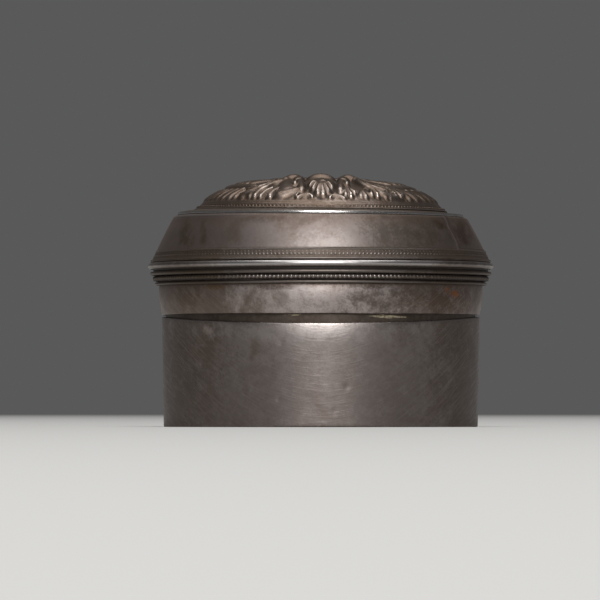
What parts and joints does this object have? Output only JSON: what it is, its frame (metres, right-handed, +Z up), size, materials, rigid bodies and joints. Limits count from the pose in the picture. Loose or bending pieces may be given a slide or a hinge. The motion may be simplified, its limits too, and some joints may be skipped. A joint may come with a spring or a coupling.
{
  "type": "lime container",
  "caption": "Low round silver box with a stepped, domed lift-off lid, chased with leaves and beading, that holds lime paste.",
  "frame": {"origin": "centre of the flat underside, on the surface that the box stands on", "axes": "+Z up along the axis of the round box; -Y towards the worn, dipped front of the rim"},
  "size_m": [0.07, 0.07, 0.0514],
  "materials": {
    "worn_silver": "silver worn smooth by handling, finely scratched, tarnished brown away from the edges",
    "tarnished_silver": "silver with dark tarnish in its grooves and rubbed ridges",
    "chased_silver": "repousse and chased silver, warm tarnish in the hollows and rubbed high spots",
    "dark_silver": "unpolished silver, dark brown, with dried lime on it",
    "dried_lime": "thin pale crust of dried lime paste"
  },
  "bodies": {
    "container": {"body_wall": "worn_silver", "base_disc": "worn_silver", "inner_collar": "dark_silver"},
    "lid": {"lid_skirt": "worn_silver", "lower_plain_wire": "tarnished_silver", "lower_beaded_wire": "tarnished_silver", "middle_plain_wire": "tarnished_silver", "edge_roll": "worn_silver", "shoulder_cone": "worn_silver", "shoulder_border": "tarnished_silver", "top_flange": "worn_silver", "dome_beaded_wire": "tarnished_silver", "dome_plate": "chased_silver"}
  },
  "joints": [
    {"name": "lid_lift", "type": "slide", "parent": "container", "child": "lid", "axis": [0, 0, 1], "range_m": [0, 0.05]}
  ]
}
